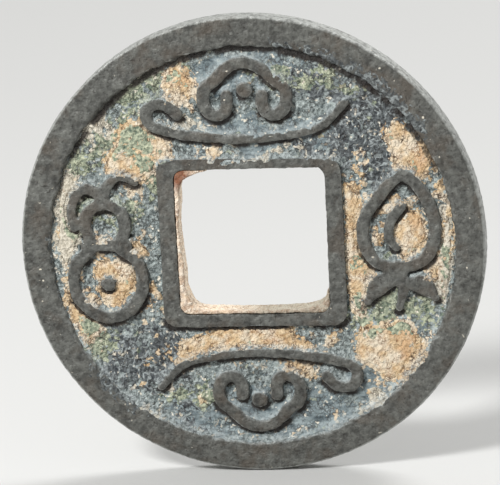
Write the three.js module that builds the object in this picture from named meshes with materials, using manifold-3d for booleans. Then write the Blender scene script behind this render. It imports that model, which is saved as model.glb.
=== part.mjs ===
// Cast bronze charm coin with a square hole, standing on its rim with the obverse towards -Y.
// Millimetres, +Z up, the hole's axis along Y, the origin at the centre of the round outline.
import * as THREE from 'three';
import { mergeVertices } from 'three/addons/utils/BufferGeometryUtils.js';
import Module from 'manifold-3d';

const wasm = await Module();
wasm.setup();

// Driving dimensions of the casting
const COIN_DIAMETER = 25;
const WEB_THICKNESS = 0.7;
const RELIEF_HEIGHT = 0.4;
const RIM_WIDTH = 1.65;
const RIM_DRAFT = 0.1;
const EDGE_CHAMFER = 0.09;
const HOLE_WIDTH = 8;
const HOLE_HEIGHT = 7.88;
const HOLE_LIFT = 0.26;
const HOLE_CORNER_RADIUS = 0.45;
const COLLAR_SIDE_WALL = 1;
const COLLAR_TOP_WALL = 0.65;
const COLLAR_BOTTOM_WALL = 0.8;
const COLLAR_CORNER_RADIUS = 0.75;

// Driving dimensions of the raised ornaments
const STROKE_WIDTH = 0.7;
const STROKE_TAPER = 0.35;
const LEAF_WIDTH = 1.15;
const LEAF_TIP_WIDTH = 0.42;
const ORNAMENT_MARGIN = 0.42;
const CLOUD_HEAD_WIDTH = 5.2;
const CLOUD_FOOT_MARGIN = 0.86;
const CLOUD_END_CLEARANCE = 1.2;
const PEARL_RADIUS = 0.46;
const SIDE_MOTIF_HEIGHT = 8.2;
const SEED_RADIUS = 0.42;

// Driving dimensions of the dried earth
const EARTH_THICKNESS = 0.22;
const EARTH_EDGE_WIDTH = 0.12;
const EARTH_GAP = 0.12;
const EARTH_WAVES = [{ lobes: 3, swell: 0.13, lead: 1 }, { lobes: 5, swell: 0.08, lead: 2.3 }];
const LINING_THICKNESS = 0.26;
const LINING_SETBACK = 0.12;

// Fineness of the curved outlines
const ROUND_STEPS = 96;
const CORNER_STEPS = 6;
const CAP_STEPS = 6;
const STROKE_STEP = 0.26;
const DOT_STEPS = 16;
const EARTH_STEPS = 30;
const WELD = 1e-5;
const DEGREE = Math.PI / 180;

// Places that follow from the dimensions
const coinRadius = COIN_DIAMETER / 2;
const rimInnerRadius = coinRadius - RIM_WIDTH;
const rimFootRadius = rimInnerRadius - RIM_DRAFT;
const cloudHeadHalf = (CLOUD_HEAD_WIDTH - STROKE_WIDTH) / 2;
const collarHalfWidth = HOLE_WIDTH / 2 + COLLAR_SIDE_WALL;
const holeTop = HOLE_LIFT + HOLE_HEIGHT / 2;
const holeBottom = HOLE_LIFT - HOLE_HEIGHT / 2;
const collarTop = holeTop + COLLAR_TOP_WALL;
const collarBottom = holeBottom - COLLAR_BOTTOM_WALL;
const collarHalfHeight = (collarTop - collarBottom) / 2;
const webHalf = WEB_THICKNESS / 2;
const faceHalf = webHalf + RELIEF_HEIGHT;

// Flat outlines are drawn in X and Y as seen from the obverse, and stand up into X and Z
const OBVERSE_UP = new THREE.Matrix4().set(1, 0, 0, 0, 0, 0, -1, 0, 0, 1, 0, 0, 0, 0, 0, 1);

const BRONZE = { color: 0x57564f, roughness: 0.55, metalness: 0.75 };
const WEB_PATINA = { color: 0x6d7a78, roughness: 0.85, metalness: 0.15 };
const EARTH = { color: 0xc89f6c, roughness: 0.95, metalness: 0 };
const PALE_EARTH = { color: 0xcfc3a4, roughness: 0.95, metalness: 0 };

const coin = new THREE.Group();

function addPiece(name, geometry, finish) {
  const mesh = new THREE.Mesh(geometry, new THREE.MeshStandardMaterial(finish));
  mesh.name = name;
  coin.add(mesh);
}

// Boolean solids

function toSolid(geometry) {
  const bare = geometry.clone();
  bare.deleteAttribute('normal');
  bare.deleteAttribute('uv');
  const welded = mergeVertices(bare, WELD);
  return new wasm.Manifold(new wasm.Mesh({
    numProp: 3,
    vertProperties: new Float32Array(welded.attributes.position.array),
    triVerts: new Uint32Array(welded.index.array),
  }));
}

function toGeometry(solid) {
  const mesh = solid.getMesh();
  const geometry = new THREE.BufferGeometry();
  geometry.setAttribute('position', new THREE.BufferAttribute(mesh.vertProperties, 3));
  geometry.setIndex(new THREE.BufferAttribute(mesh.triVerts, 1));
  return geometry;
}

function joined(geometries) {
  return geometries.map(toSolid).reduce((whole, part) => whole.add(part));
}

function largestPart(solid) {
  return solid.decompose().reduce((most, part) => (part.volume() > most.volume() ? part : most));
}

// Outlines

function raise(shape, frontY, depth) {
  const settings = { depth, curveSegments: CORNER_STEPS, bevelEnabled: false };
  const geometry = new THREE.ExtrudeGeometry(shape, settings);
  return geometry.applyMatrix4(OBVERSE_UP).translate(0, frontY + depth, 0);
}

function roundedBox(target, halfWidth, bottom, top, radius) {
  const x = halfWidth - radius;
  const low = bottom + radius;
  const high = top - radius;
  target.moveTo(halfWidth, low);
  target.lineTo(halfWidth, high);
  target.absarc(x, high, radius, 0, Math.PI / 2);
  target.lineTo(-x, top);
  target.absarc(-x, high, radius, Math.PI / 2, Math.PI);
  target.lineTo(-halfWidth, low);
  target.absarc(-x, low, radius, Math.PI, 1.5 * Math.PI);
  target.lineTo(x, bottom);
  target.absarc(x, low, radius, 1.5 * Math.PI, 2 * Math.PI);
  return target;
}

function holeOutline() {
  return roundedBox(new THREE.Path(), HOLE_WIDTH / 2, holeBottom, holeTop, HOLE_CORNER_RADIUS);
}

function circlePoints(radius, steps = ROUND_STEPS, x = 0, y = 0) {
  return Array.from({ length: steps }, (_, i) => {
    const angle = (2 * Math.PI * i) / steps;
    return new THREE.Vector2(x + radius * Math.cos(angle), y + radius * Math.sin(angle));
  });
}

// A smooth line through a few points, at an even step
function smoothLine(points, closed = false) {
  const curve = new THREE.CatmullRomCurve3(points.map(([x, y]) => new THREE.Vector3(x, y, 0)), closed);
  const steps = Math.max(8, Math.round(curve.getLength() / STROKE_STEP));
  const line = curve.getSpacedPoints(steps).map((p) => new THREE.Vector2(p.x, p.y));
  return closed ? line.slice(0, -1) : line;
}

function sideOf(line, closed, halfWidthAt) {
  const last = line.length - 1;
  return line.map((point, i) => {
    const before = line[closed ? (i + last) % line.length : Math.max(0, i - 1)];
    const after = line[closed ? (i + 1) % line.length : Math.min(last, i + 1)];
    const along = after.clone().sub(before).normalize();
    return point.clone().add(new THREE.Vector2(-along.y, along.x).multiplyScalar(halfWidthAt(i / last)));
  });
}

function capPoints(centre, from, sweep) {
  const arm = from.clone().sub(centre);
  return Array.from({ length: CAP_STEPS - 1 }, (_, i) => {
    return arm.clone().rotateAround(new THREE.Vector2(), (sweep * (i + 1)) / CAP_STEPS).add(centre);
  });
}

// A stroke of the mould cutter's tool: a band along a line, with round ends
function strokeShape(line, widthAt) {
  const left = sideOf(line, false, (t) => widthAt(t) / 2);
  const right = sideOf(line, false, (t) => -widthAt(t) / 2);
  const endCap = capPoints(line.at(-1), left.at(-1), -Math.PI);
  const startCap = capPoints(line[0], right[0], -Math.PI);
  return new THREE.Shape([...left, ...endCap, ...right.reverse(), ...startCap]);
}

function ringShape(line, width) {
  const sides = [sideOf(line, true, () => width / 2), sideOf(line, true, () => -width / 2)];
  sides.sort((a, b) => Math.abs(THREE.ShapeUtils.area(b)) - Math.abs(THREE.ShapeUtils.area(a)));
  const shape = new THREE.Shape(sides[0]);
  shape.holes.push(new THREE.Path(sides[1]));
  return shape;
}

const evenWidth = () => STROKE_WIDTH;
const taperedWidth = (t) => STROKE_WIDTH * (1 - STROKE_TAPER * t);
const leafWidth = (t) => LEAF_TIP_WIDTH + (LEAF_WIDTH - LEAF_TIP_WIDTH) * Math.sin(Math.PI * t) ** 2;

// The ornaments as flat drawings. Each function gives {name: shapes}, and grow widens every
// stroke by the same amount all round, to cut the earth back from it.

function stroke(points, grow, widthAt = evenWidth) {
  return strokeShape(smoothLine(points), (t) => widthAt(t) + 2 * grow);
}

function dot(x, y, radius, grow) {
  return new THREE.Shape(circlePoints(radius + grow, DOT_STEPS, x, y));
}

// Each motif is drawn in shares, u sideways and v along its height, and a placer turns these
// into millimetres. The placers also seat the earth that lies against a motif.

// The band over the hole where turn is 1, and under it where -1. It reaches towards the rim at
// both ends, unless a half width is given.
function cloudPlacer(turn, ownHalf) {
  const foot = collarHalfHeight + CLOUD_FOOT_MARGIN + STROKE_WIDTH / 2;
  const height = rimFootRadius - ORNAMENT_MARGIN - STROKE_WIDTH / 2 - foot;
  const endReach = rimFootRadius - CLOUD_END_CLEARANCE;
  const half = ownHalf ?? Math.sqrt(endReach ** 2 - (foot + height / 2) ** 2);
  return ([u, v]) => [turn * u * half, turn * (foot + v * height)];
}

// The band beside the hole: left of it where side is -1, right of it where 1
function sidePlacer(side) {
  const centre = (collarHalfWidth + rimFootRadius) / 2;
  const half = (rimFootRadius - collarHalfWidth - STROKE_WIDTH) / 2 - ORNAMENT_MARGIN;
  return ([u, v]) => [side * centre + u * half, (v * SIDE_MOTIF_HEIGHT) / 2];
}

// Along the foot of the rim: u is the angle in radians from the right, v a share of the way in
function rimPlacer([u, v]) {
  const radius = rimFootRadius * (1 - v);
  return [radius * Math.cos(u), radius * Math.sin(u)];
}

// A cloud scroll between the collar and the rim
function cloud(prefix, turn, grow) {
  const onHead = cloudPlacer(turn, cloudHeadHalf);
  const leftOfHead = [[-0.42, 0.57], [-0.42, 0.43], [-0.54, 0.33], [-0.74, 0.31], [-0.93, 0.4],
    [-0.99, 0.54], [-0.92, 0.68], [-0.68, 0.78]];
  const crown = [[-0.5, 0.89], [-0.24, 0.98], [0, 1], [0.24, 0.98], [0.5, 0.89]];
  const rightOfHead = leftOfHead.map(([u, v]) => [-u, v]).reverse();
  const head = [...leftOfHead, ...crown, ...rightOfHead].map(onHead);
  const curl = [[-0.69, 0.33], [-0.75, 0.43], [-0.84, 0.48], [-0.95, 0.46], [-1, 0.35], [-0.97, 0.22],
    [-0.78, 0.12]];
  const sweep = [[-0.38, 0.03], [0, 0], [0.4, 0.04], [0.76, 0.15], [1, 0.45]];
  const tail = [...curl, ...sweep].map(cloudPlacer(turn));
  return {
    [`${prefix}_cloud_head`]: [stroke(head, grow)],
    [`${prefix}_cloud_tail`]: [stroke(tail, grow, taperedWidth)],
    [`${prefix}_cloud_pearl`]: [dot(...onHead([0, 0.64]), PEARL_RADIUS, grow)],
  };
}

// A bottle gourd left of the hole, with a tied waist, a curled stem, a tendril and one seed
function gourd(grow) {
  const place = sidePlacer(-1);
  const rightHalf = [[0.42, -0.86], [0.86, -0.58], [0.8, -0.2], [0.34, 0.04], [0.5, 0.26], [0.42, 0.5]];
  const leftHalf = rightHalf.map(([u, v]) => [-u, v]).reverse();
  const outline = [[0, -0.93], ...rightHalf, [0, 0.6], ...leftHalf].map(place);
  const stem = [[0, 0.62], [0.08, 0.82], [0.42, 0.96], [0.84, 0.88]].map(place);
  const tendril = [[-0.1, 0.74], [-0.5, 0.82], [-0.84, 0.56], [-0.8, 0.28]].map(place);
  const waist = [[-0.52, 0.05], [0.52, 0.05]].map(place);
  return {
    gourd_outline: [
      ringShape(smoothLine(outline, true), STROKE_WIDTH + 2 * grow),
      stroke(waist, grow),
      stroke(stem, grow, taperedWidth),
      stroke(tendril, grow, taperedWidth),
    ],
    gourd_seed: [dot(...place([0, -0.48]), SEED_RADIUS, grow)],
  };
}

// A peach right of the hole, with its crease, a stalk and two leaves
function peach(grow) {
  const place = sidePlacer(1);
  const outline = [[0.14, 0.92], [-0.4, 0.68], [-0.92, 0.22], [-0.68, -0.2], [-0.04, -0.32], [0.64, -0.2],
    [0.92, 0.2], [0.64, 0.66]].map(place);
  const crease = [[0.08, 0.5], [-0.2, 0.3], [-0.26, 0.1], [-0.08, -0.06]].map(place);
  const stalk = [[-0.04, -0.3], [0.06, -0.56], [-0.06, -0.86]].map(place);
  const innerLeaf = [[0.02, -0.5], [-0.46, -0.52], [-0.88, -0.78]].map(place);
  const outerLeaf = [[0.04, -0.56], [0.48, -0.54], [0.88, -0.74]].map(place);
  return {
    peach_outline: [
      ringShape(smoothLine(outline, true), STROKE_WIDTH + 2 * grow),
      stroke(stalk, grow, taperedWidth),
      stroke(innerLeaf, grow, leafWidth),
      stroke(outerLeaf, grow, leafWidth),
    ],
    peach_crease: [stroke(crease, grow, taperedWidth)],
  };
}

function ornaments(grow = 0) {
  return { ...cloud('upper', 1, grow), ...cloud('lower', -1, grow), ...gourd(grow), ...peach(grow) };
}

// The casting

function addWeb() {
  const disc = new THREE.Shape(circlePoints(coinRadius));
  disc.holes.push(holeOutline());
  addPiece('web', raise(disc, -webHalf, WEB_THICKNESS), WEB_PATINA);
}

// side is -1 on the obverse and 1 on the reverse
function addRim(name, side) {
  const profile = [
    [coinRadius, webHalf],
    [coinRadius, faceHalf - EDGE_CHAMFER],
    [coinRadius - EDGE_CHAMFER, faceHalf],
    [rimInnerRadius + EDGE_CHAMFER, faceHalf],
    [rimInnerRadius, faceHalf - EDGE_CHAMFER],
    [rimFootRadius, webHalf],
    [coinRadius, webHalf],
  ].map(([radius, y]) => new THREE.Vector2(radius, side * y));
  const outwards = side > 0 ? profile : profile.reverse();
  addPiece(name, new THREE.LatheGeometry(outwards, ROUND_STEPS), BRONZE);
}

function addCollar(name, side) {
  const frame = roundedBox(new THREE.Shape(), collarHalfWidth, collarBottom, collarTop,
    COLLAR_CORNER_RADIUS);
  frame.holes.push(holeOutline());
  addPiece(name, raise(frame, side > 0 ? webHalf : -faceHalf, RELIEF_HEIGHT), BRONZE);
}

function raisedSolid(shapes, height) {
  return joined(shapes.map((shape) => raise(shape, -webHalf - height, height)));
}

function addOrnaments() {
  for (const [name, shapes] of Object.entries(ornaments())) {
    addPiece(name, toGeometry(raisedSolid(shapes, RELIEF_HEIGHT)), BRONZE);
  }
}

// The dried earth

// What the casting keeps clear of earth, cut a gap wider all round
function earthKeepOut() {
  const collar = roundedBox(new THREE.Shape(), collarHalfWidth + EARTH_GAP, collarBottom - EARTH_GAP,
    collarTop + EARTH_GAP, COLLAR_CORNER_RADIUS);
  return raisedSolid([collar, ...Object.values(ornaments(EARTH_GAP)).flat()], RELIEF_HEIGHT);
}

// The patches of earth. Each is seated by a placer: where its middle is, its half width and
// half height, how far it is turned, and the waves of its edge.
const onGourd = sidePlacer(-1);
const onPeach = sidePlacer(1);
const onUpperCloud = cloudPlacer(1);
const onLowerCloud = cloudPlacer(-1);
const onUpperHead = cloudPlacer(1, cloudHeadHalf);
const EARTH_PATCHES = {
  earth_under_hole: { place: onLowerCloud, at: [0.1, -0.14], size: [0.6, 0.2], turn: 1, wave: 0.4 },
  earth_right_of_hole: { place: onPeach, at: [-1.12, -0.04], size: [0.32, 0.82], turn: 4, wave: 1.3 },
  earth_upper_right: { place: rimPlacer, at: [0.53, 0.085], size: [0.16, 0.08], turn: 0, wave: 2.1 },
  earth_right_edge: { place: onPeach, at: [1.12, -0.14], size: [0.28, 0.64], turn: -2, wave: 0.2 },
  earth_lower_right: { place: onLowerCloud, at: [-1.32, -0.03], size: [0.3, 0.37], turn: -14, wave: 1.9 },
  earth_upper_left: { place: onUpperCloud, at: [-1.1, -0.17], size: [0.3, 0.4], turn: -26, wave: 0.9 },
  earth_top_left: { place: onUpperHead, at: [-1.54, 0.77], size: [0.36, 0.16], turn: -8, wave: 2.8 },
  earth_left_edge: { place: onGourd, at: [-0.94, 0.42], size: [0.3, 0.66], turn: -6, wave: 1.1 },
  earth_lower_left: { place: onGourd, at: [-0.66, -0.84], size: [0.42, 0.46], turn: 16, wave: 2.5 },
  earth_in_gourd: { place: onGourd, at: [0.17, -0.45], size: [0.5, 0.3], turn: 0, wave: 0.7 },
  earth_in_peach: { place: onPeach, at: [0.26, 0.14], size: [0.4, 0.32], turn: 4, wave: 1.6 },
};
const PALE_PATCHES = ['earth_right_edge', 'earth_left_edge'];

function earthOutline({ place, at, size, turn, wave }) {
  return Array.from({ length: EARTH_STEPS }, (_, i) => {
    const angle = (2 * Math.PI * i) / EARTH_STEPS;
    const wobble = EARTH_WAVES.map((w) => w.swell * Math.sin(w.lobes * angle + w.lead * wave));
    const swell = wobble.reduce((sum, part) => sum + part, 1);
    const arm = new THREE.Vector2(swell * size[0] * Math.cos(angle), swell * size[1] * Math.sin(angle));
    arm.rotateAround(new THREE.Vector2(), turn * DEGREE);
    return new THREE.Vector2(...place([at[0] + arm.x, at[1] + arm.y]));
  });
}

function pushed(point, centre, by) {
  const arm = point.clone().sub(centre);
  return arm.setLength(arm.length() + by).add(centre);
}

// A patch as a low heap: its front face is drawn in from its foot by the edge's width
function earthHeap(patch) {
  const centre = new THREE.Vector2(...patch.place(patch.at));
  const shape = new THREE.Shape(earthOutline(patch));
  const geometry = raise(shape, -webHalf - EARTH_THICKNESS, EARTH_THICKNESS);
  const position = geometry.attributes.position;
  for (let i = 0; i < position.count; i += 1) {
    if (position.getY(i) > -webHalf - EARTH_THICKNESS / 2) continue;
    const at = pushed(new THREE.Vector2(position.getX(i), position.getZ(i)), centre, -EARTH_EDGE_WIDTH);
    position.setX(i, at.x);
    position.setZ(i, at.y);
  }
  return geometry;
}

// The room that a patch takes, a gap wider all round, which the next patches keep clear of
function earthRoom(patch) {
  const centre = new THREE.Vector2(...patch.place(patch.at));
  return new THREE.Shape(earthOutline(patch).map((point) => pushed(point, centre, EARTH_GAP)));
}

function addEarthPatches() {
  const fieldDisc = new THREE.Shape(circlePoints(rimFootRadius - EARTH_GAP));
  const field = toSolid(raise(fieldDisc, -faceHalf, RELIEF_HEIGHT));
  let keepOut = earthKeepOut();
  for (const [name, patch] of Object.entries(EARTH_PATCHES)) {
    const left = largestPart(toSolid(earthHeap(patch)).intersect(field).subtract(keepOut));
    addPiece(name, toGeometry(left), PALE_PATCHES.includes(name) ? PALE_EARTH : EARTH);
    keepOut = keepOut.add(raisedSolid([earthRoom(patch)], RELIEF_HEIGHT));
  }
}

// Where the inner edge of the hole's earth runs, wall by wall from its end over the hole round to
// its end on the right: how far along the wall, and how thick, as a share of LINING_THICKNESS
const LINING_EDGE = {
  top: [[-0.54, 0.1], [-0.7, 0.55]],
  left: [[0.84, 1.15], [0.55, 0.7], [0.26, 0.3], [-0.1, 0.55], [-0.4, 0.95], [-0.68, 1.15]],
  bottom: [[-0.8, 1.25], [-0.4, 0.55], [0, 0.4], [0.45, 0.5], [0.8, 1.05]],
  right: [[-0.85, 0.85], [-0.68, 0.1]],
};

// Earth caked on the hole's left and lower walls, thickest in three of its corners
function addHoleLining() {
  const halfWidth = HOLE_WIDTH / 2;
  const halfHeight = HOLE_HEIGHT / 2;
  const x = halfWidth - HOLE_CORNER_RADIUS;
  const y = halfHeight - HOLE_CORNER_RADIUS;
  const points = {
    top: ([along, thick]) => [along * halfWidth, halfHeight - thick * LINING_THICKNESS],
    left: ([along, thick]) => [thick * LINING_THICKNESS - halfWidth, along * halfHeight],
    bottom: ([along, thick]) => [along * halfWidth, thick * LINING_THICKNESS - halfHeight],
    right: ([along, thick]) => [halfWidth - thick * LINING_THICKNESS, along * halfHeight],
  };
  const edge = Object.entries(LINING_EDGE).flatMap(([wall, places]) => places.map(points[wall]));
  const shape = new THREE.Shape();
  shape.moveTo(LINING_EDGE.top[0][0] * halfWidth, halfHeight);
  shape.lineTo(-x, halfHeight);
  shape.absarc(-x, y, HOLE_CORNER_RADIUS, Math.PI / 2, Math.PI);
  shape.lineTo(-halfWidth, -y);
  shape.absarc(-x, -y, HOLE_CORNER_RADIUS, Math.PI, 1.5 * Math.PI);
  shape.lineTo(x, -halfHeight);
  shape.absarc(x, -y, HOLE_CORNER_RADIUS, 1.5 * Math.PI, 2 * Math.PI);
  shape.lineTo(halfWidth, LINING_EDGE.right.at(-1)[0] * halfHeight);
  for (const point of smoothLine(edge).reverse()) shape.lineTo(point.x, point.y);
  const depth = 2 * (faceHalf - LINING_SETBACK);
  const lining = raise(shape, -depth / 2, depth).translate(0, 0, HOLE_LIFT);
  addPiece('earth_hole_lining', lining, PALE_EARTH);
}

addWeb();
addRim('obverse_rim', -1);
addRim('reverse_rim', 1);
addCollar('obverse_collar', -1);
addCollar('reverse_collar', 1);
addOrnaments();
addEarthPatches();
addHoleLining();

export default coin;
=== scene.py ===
"""A cast bronze charm coin as it came out of the ground: worn metal, mineral crust and dried earth.

The coin stands on its rim with the obverse towards -Y. Pieces are shaped in millimetres and
brought to metres when they are finished, so that the tools' thresholds suit so small a thing.
"""

import math

import bmesh
import bpy
import numpy as np
from bpy.props import FloatProperty, FloatVectorProperty, IntProperty, PointerProperty
from mathutils import Matrix, Vector, noise
from mathutils.bvhtree import BVHTree


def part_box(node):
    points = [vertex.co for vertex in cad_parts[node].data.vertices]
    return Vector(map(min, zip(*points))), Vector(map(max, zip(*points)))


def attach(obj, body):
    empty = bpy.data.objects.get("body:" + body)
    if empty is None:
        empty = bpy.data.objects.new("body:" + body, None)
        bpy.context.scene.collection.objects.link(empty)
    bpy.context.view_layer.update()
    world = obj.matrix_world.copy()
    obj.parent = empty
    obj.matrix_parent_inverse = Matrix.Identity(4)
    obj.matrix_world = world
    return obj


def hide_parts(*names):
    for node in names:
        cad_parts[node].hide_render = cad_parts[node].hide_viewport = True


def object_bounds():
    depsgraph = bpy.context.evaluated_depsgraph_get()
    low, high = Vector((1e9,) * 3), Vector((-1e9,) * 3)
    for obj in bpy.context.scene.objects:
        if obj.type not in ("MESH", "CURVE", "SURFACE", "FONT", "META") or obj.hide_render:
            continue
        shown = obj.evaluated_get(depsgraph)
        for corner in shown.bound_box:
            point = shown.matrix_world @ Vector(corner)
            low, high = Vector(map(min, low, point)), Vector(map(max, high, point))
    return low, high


bl_info = {
    "name": "Charm coin",
    "version": (1, 0, 0),
    "blender": (4, 5, 0),
    "location": "3D View > Sidebar > Coin",
    "description": "Gives a cast bronze coin its worn metal, mineral crust and dried earth",
    "category": "Object",
}

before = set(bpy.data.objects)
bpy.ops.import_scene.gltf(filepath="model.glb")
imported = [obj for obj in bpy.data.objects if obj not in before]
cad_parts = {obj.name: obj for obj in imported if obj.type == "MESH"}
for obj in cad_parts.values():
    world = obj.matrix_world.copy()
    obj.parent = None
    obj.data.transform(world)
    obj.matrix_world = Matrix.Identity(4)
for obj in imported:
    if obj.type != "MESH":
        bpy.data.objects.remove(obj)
CAD_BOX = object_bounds()

MM = 0.001
BODY = "root"
COIN_RADIUS = CAD_BOX[1].x
FACE_DEPTH = CAD_BOX[1].y
WEB_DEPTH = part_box("web")[1].y
COLLAR_FOOT, COLLAR_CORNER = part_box("obverse_collar")

MARKS = [f"{place}_cloud_{part}" for place in ("upper", "lower") for part in ("head", "tail", "pearl")]
MARKS += ["gourd_outline", "gourd_seed", "peach_outline", "peach_crease"]
PALE_CRUSTS = ["earth_left_edge", "earth_right_edge"]
HOLE_EARTH = "earth_hole_lining"
OCHRE_CRUSTS = sorted(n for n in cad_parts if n.startswith("earth_") and n != HOLE_EARTH)
OCHRE_CRUSTS = [name for name in OCHRE_CRUSTS if name not in PALE_CRUSTS]
RAISED = MARKS + ["obverse_rim", "reverse_rim", "obverse_collar", "reverse_collar"]
INSET = 0.03  # mm that a worn piece starts inside its CAD solid, so that its roughness stays in it

# Where each deposit lies on the obverse, in millimetres from the coin's middle: x, z, half
# width, half height, and degrees turned anticlockwise
OBVERSE_DEPOSITS = {
    "slate": [
        (6.8, 6.2, 1.9, 2.2, 0), (4.1, 5.6, 3.6, 1.0, -4), (5.2, 7.7, 2.2, 1.0, -35),
        (-6.4, -6.3, 1.8, 1.5, 0), (7.2, 3.9, 1.3, 0.8, 0), (-3.6, -9.5, 1.1, 0.8, 0),
        (3.4, 9.0, 2.6, 1.0, -18), (-4.6, -5.3, 1.1, 1.6, 20),
    ],
    "streaked": [
        (1.6, -9.5, 5.2, 1.6, 0), (6.0, -7.8, 1.1, 0.9, 0), (-0.6, 9.4, 3.0, 1.0, 4),
        (0.5, 6.0, 3.4, 0.8, 0), (7.4, -4.7, 2.0, 0.8, 0),
    ],
    "verdigris": [
        (-5.3, 9.0, 2.0, 0.9, 28), (-6.7, 6.3, 1.0, 1.5, 0), (-8.9, 5.0, 1.1, 0.8, 30),
        (-7.7, 2.1, 1.5, 0.9, 0), (6.3, -1.1, 0.8, 0.5, 0), (-8.7, -5.1, 1.0, 1.0, 0),
        (-4.2, -8.3, 0.9, 0.5, 0), (-2.8, -8.3, 0.7, 0.7, 0), (10.3, -1.5, 0.3, 0.7, 0),
        (7.3, -4.0, 2.6, 1.1, 0), (-9.6, 1.6, 0.8, 1.0, 0), (2.6, 9.0, 1.4, 0.5, 0),
        (4.9, 8.8, 1.2, 0.5, -30), (-7.8, 5.4, 1.0, 0.9, 0), (-5.2, 3.6, 0.7, 0.8, 0),
        (-4.1, 9.5, 0.9, 0.6, 0), (-6.0, 5.6, 0.8, 1.0, 20),
    ],
    "cream": [
        (-9.5, 3.2, 0.8, 1.3, -15), (-10.4, 1.3, 0.4, 1.2, 0), (-8.1, 6.5, 0.8, 0.8, 40),
        (-5.9, -9.1, 0.9, 0.4, -35), (6.2, -8.6, 1.3, 0.4, 35), (-5.1, -7.4, 0.3, 0.7, 0),
        (-3.4, 6.6, 1.6, 0.4, -20), (8.6, -6.9, 1.2, 0.5, 40), (-10.3, -0.6, 0.3, 1.4, 0),
        (-4.4, 10.1, 1.2, 0.4, 18), (1.4, 5.0, 2.4, 0.2, 0), (-7.3, -3.7, 0.5, 0.9, 0),
    ],
    "ochre": [
        (-3.3, 8.6, 0.8, 0.8, -30), (-1.8, 5.2, 1.1, 0.3, 0), (-5.6, 5.9, 0.5, 0.9, -20),
        (-6.2, 4.0, 0.9, 1.0, 0), (-6.6, -0.5, 0.6, 1.0, 0), (-8.6, 0.1, 0.6, 0.6, 0),
        (-9.8, -2.9, 0.8, 1.3, 15), (-5.7, -2.4, 0.4, 0.9, 0), (9.1, 4.5, 0.7, 1.2, 20),
        (7.7, 2.3, 1.4, 0.4, 0), (7.7, 0.5, 1.1, 0.8, 0), (5.8, 2.0, 0.35, 2.6, 0),
        (9.3, -1.2, 0.7, 0.8, 0), (10.4, 1.5, 0.3, 2.0, 0), (-2.0, -5.6, 2.6, 0.7, 4),
        (2.4, -6.3, 1.1, 0.8, -20), (4.0, -5.3, 0.5, 0.6, 0), (8.0, -6.5, 1.5, 0.8, 25),
        (6.0, -1.5, 0.5, 1.4, 0),
    ],
}
# The reverse isn't known, so its deposits are laid out freely, as seen from the obverse
REVERSE_DEPOSITS = {
    "slate": [
        (0.3, 8.9, 3.4, 1.2, 0), (5.2, 9.0, 1.4, 0.8, -35), (7.1, -1.2, 1.3, 1.4, 0),
        (-9.0, 5.4, 0.9, 1.0, 0), (-6.2, -2.2, 1.2, 1.6, 0),
    ],
    "streaked": [(-1.4, -7.4, 3.4, 1.8, 0), (4.8, 6.2, 2.0, 1.2, -20), (-6.6, 3.2, 1.2, 1.4, 0)],
    "verdigris": [
        (-3.2, 7.9, 2.6, 1.3, 20), (6.4, 6.2, 1.8, 1.4, -40), (-6.6, -6.6, 1.9, 1.3, -30),
        (8.3, -4.3, 1.3, 1.5, 0), (-7.0, 0.6, 1.0, 1.9, 0), (3.4, -9.0, 2.2, 0.7, 10),
    ],
    "cream": [
        (-7.9, 4.6, 1.0, 1.2, 0), (9.3, -0.7, 0.6, 1.6, 0), (-2.6, -8.9, 1.8, 0.5, -10),
        (-9.6, -1.4, 0.4, 1.5, 0), (2.0, 5.3, 2.0, 0.3, 0),
    ],
    "ochre": [
        (-6.5, 6.5, 1.6, 0.9, 40), (7.6, 2.0, 1.1, 1.8, 10), (1.5, -6.2, 2.3, 0.7, 5),
        (-8.2, -3.6, 1.0, 1.4, 20), (5.6, -7.2, 1.2, 0.7, 30), (2.8, 7.9, 1.1, 0.7, -15),
    ],
}
DEPOSIT_KINDS = tuple(OBVERSE_DEPOSITS)
# How densely the grains of each kind lie, from 0 to 1
DENSITY = {"slate": 1.0, "streaked": 1.0, "verdigris": 0.86, "cream": 0.78, "ochre": 1.0}
# How far each kind rises from the field where it is densest, and the tallest heap, in millimetres
HEAP_HEIGHTS = {"slate": 0.08, "streaked": 0.0, "verdigris": 0.05, "cream": 0.09, "ochre": 0.13}
BANK_HEIGHT = 0.24
TALLEST_HEAP = 0.32
# Where the crust has crept over the rim's inner edge, in the same terms
OBVERSE_CREEP = [
    (7.7, 7.7, 2.8, 0.9, -45), (3.6, 10.3, 1.8, 0.5, -18), (-7.5, 6.5, 1.0, 0.4, 50),
    (-7.7, -7.7, 1.7, 0.5, -45), (7.3, -6.6, 1.1, 0.4, 45), (-10.9, 0.2, 0.3, 0.8, 0),
]
REVERSE_CREEP = [(-8.0, 7.4, 2.2, 0.8, 45), (6.4, -8.8, 2.0, 0.6, 36), (10.8, 1.6, 0.4, 1.4, 0)]


def paint(red, green, blue):
    """An 8-bit display colour as the linear colour that a shader takes"""
    parts = [part / 255 for part in (red, green, blue)]
    return (*[p / 12.92 if p <= 0.04045 else ((p + 0.055) / 1.055) ** 2.4 for p in parts], 1.0)


def length_property(name, description, default):
    return FloatProperty(name=name, description=description, default=default, unit="LENGTH", precision=5)


def colour_property(name, description, default):
    return FloatVectorProperty(name=name, description=description, default=default, size=4,
                               min=0, max=1, subtype="COLOR")


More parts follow.
